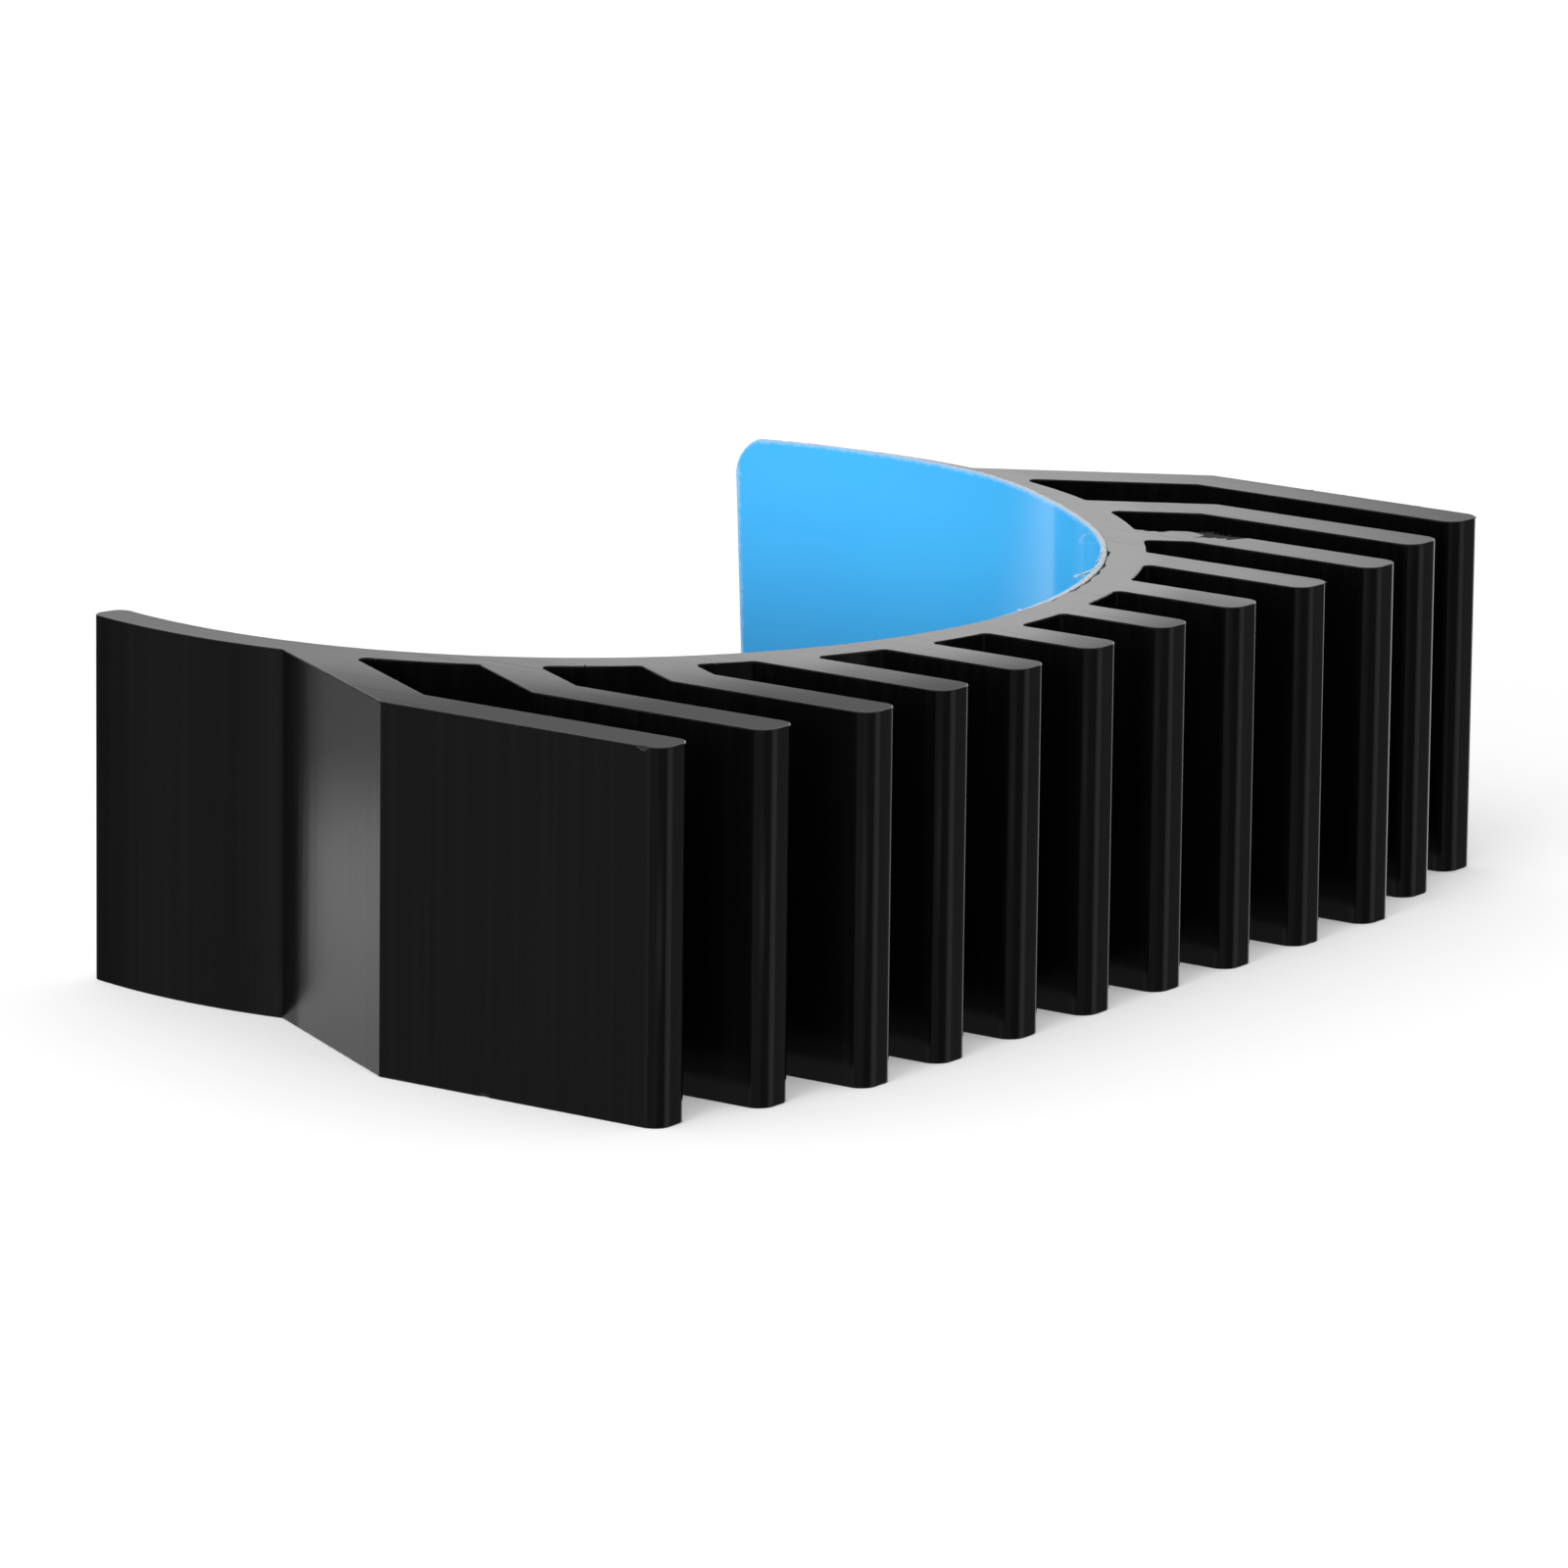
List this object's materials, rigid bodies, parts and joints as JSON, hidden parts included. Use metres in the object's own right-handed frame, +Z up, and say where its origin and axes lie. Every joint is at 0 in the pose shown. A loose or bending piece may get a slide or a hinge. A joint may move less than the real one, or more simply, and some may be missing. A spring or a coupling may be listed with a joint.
{
  "type": "heat sink",
  "caption": "Curved finned heat sink cut from extrusion, with a saddle that seats on a round motor and a thermal tape pad under a release film.",
  "frame": {"origin": "on the axis of the curved seat, at the base plane", "axes": "+X out along the fins, +Y to the wing whose pad end overhangs, +Z up along the cut length"},
  "size_m": [0.0282, 0.0456, 0.0122],
  "materials": {
    "black_anodised": "satin black anodised, sawn ends",
    "white_tape": "soft matt, die-cut edge",
    "blue_film": "glossy thin film"
  },
  "bodies": {
    "root": {"finned_body": "black_anodised", "thermal_tape": "white_tape", "release_film": "blue_film"}
  },
  "joints": []
}
